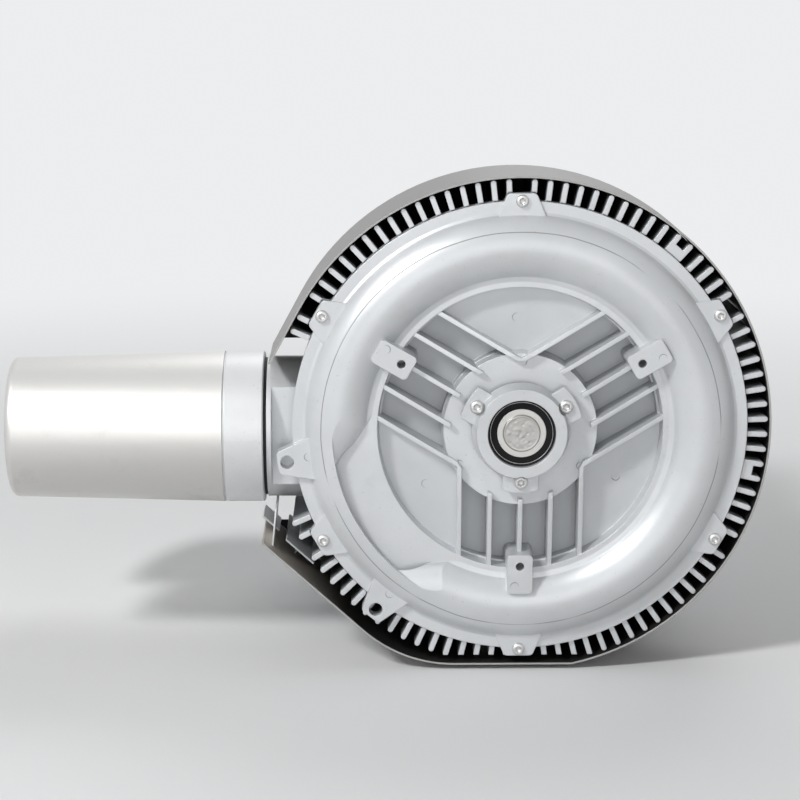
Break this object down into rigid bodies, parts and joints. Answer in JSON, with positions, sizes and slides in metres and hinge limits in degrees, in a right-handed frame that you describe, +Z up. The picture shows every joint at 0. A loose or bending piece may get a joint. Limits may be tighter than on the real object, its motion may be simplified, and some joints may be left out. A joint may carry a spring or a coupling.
{
  "type": "side channel blower",
  "caption": "Side channel blower with ribbed front cover, finned casing, sheet shroud, flange motor, terminal box and cylindrical silencers on both ports.",
  "frame": {"origin": "on the shaft axis, level with the outer faces of the three bosses on the front cover", "axes": "-Y points out of the cover towards the viewer, +Y along the shaft to the motor, +Z up, -X along both ports"},
  "size_m": [0.6209, 0.416, 0.4061],
  "materials": {
    "casting": "silver-grey paint on a cast surface, satin",
    "wheel_casting": "bare casting with turned faces",
    "retainer_casting": "silver-grey paint, satin",
    "shroud_sheet": "dark grey paint on sheet steel",
    "baffle_sheet": "slate-grey paint on sheet steel",
    "cowl_sheet": "silver-grey paint on sheet steel",
    "base_paint": "black paint, satin",
    "silencer_metal": "brushed and polished",
    "collar_metal": "fine turned, satin",
    "tube_metal": "plated tube",
    "foam": "open foam wrapped round the tube",
    "gasket": "matt black rubber",
    "screw_steel": "zinc plated",
    "ring_steel": "ground steel",
    "cage_steel": "pressed steel",
    "seal_rubber": "black rubber",
    "shaft_steel": "turned steel",
    "lamination": "stacked sheet steel",
    "winding": "varnished copper wire",
    "fan_plastic": "moulded, matt",
    "gland_plastic": "moulded, matt"
  },
  "bodies": {
    "frame": {"front_cover": "casting", "blower_housing": "casting", "motor_frame": "casting", "rear_end_shield": "casting", "terminal_box": "casting", "terminal_box_lid": "casting", "bearing_retainer": "retainer_casting", "shroud_wrap": "shroud_sheet", "shroud_rear_panel": "shroud_sheet", "shroud_baffle": "baffle_sheet", "shroud_bracket": "baffle_sheet", "fan_cowl": "cowl_sheet", "base_plate": "base_paint", "motor_support": "base_paint", "inlet_silencer_shell": "silencer_metal", "outlet_silencer_shell": "silencer_metal", "inlet_silencer_collar": "collar_metal", "outlet_silencer_collar": "collar_metal", "inlet_silencer_tube": "tube_metal", "outlet_silencer_tube": "tube_metal", "inlet_silencer_foam": "foam", "outlet_silencer_foam": "foam", "inlet_port_gasket": "gasket", "outlet_port_gasket": "gasket", "cover_seal": "gasket", "terminal_lid_seal": "gasket", "cover_screws": "screw_steel", "retainer_screws": "screw_steel", "end_shield_screws": "screw_steel", "motor_flange_screws": "screw_steel", "cowl_screws": "screw_steel", "terminal_lid_screws": "screw_steel", "base_bolts": "screw_steel", "panel_screws": "screw_steel", "front_bearing_outer_ring": "ring_steel", "rear_bearing_outer_ring": "ring_steel", "front_bearing_seals": "seal_rubber", "rear_bearing_seals": "seal_rubber", "front_shaft_seal": "seal_rubber", "rear_shaft_seal": "seal_rubber", "cable_gland_seal": "seal_rubber", "wave_spring": "shaft_steel", "stator_core": "lamination", "stator_windings": "winding", "cable_gland_body": "gland_plastic", "cable_gland_nut": "gland_plastic", "terminal_board": "gland_plastic"},
    "rotor": {"rotor_shaft": "shaft_steel", "rotor_core": "lamination", "impeller": "wheel_casting", "impeller_key": "shaft_steel", "impeller_spacer": "shaft_steel", "cooling_fan": "fan_plastic", "fan_key": "shaft_steel", "front_bearing_inner_ring": "ring_steel", "rear_bearing_inner_ring": "ring_steel"},
    "front_cage_set": {"front_bearing_balls": "ring_steel", "front_bearing_cage": "cage_steel"},
    "rear_cage_set": {"rear_bearing_balls": "ring_steel", "rear_bearing_cage": "cage_steel"}
  },
  "joints": [
    {"name": "rotor_spin", "type": "hinge", "parent": "frame", "child": "rotor", "pos_m": [0, 0, 0], "axis": [0, 1, 0], "continuous": true},
    {"name": "front_cage_spin", "type": "hinge", "parent": "frame", "child": "front_cage_set", "pos_m": [0, 0.005, 0], "axis": [0, 1, 0], "continuous": true},
    {"name": "rear_cage_spin", "type": "hinge", "parent": "frame", "child": "rear_cage_set", "pos_m": [0, 0.332, 0], "axis": [0, 1, 0], "continuous": true}
  ],
  "couplings": [
    {"joint": "front_cage_spin", "follows": "rotor_spin", "ratio": 0.398},
    {"joint": "rear_cage_spin", "follows": "rotor_spin", "ratio": 0.398}
  ]
}
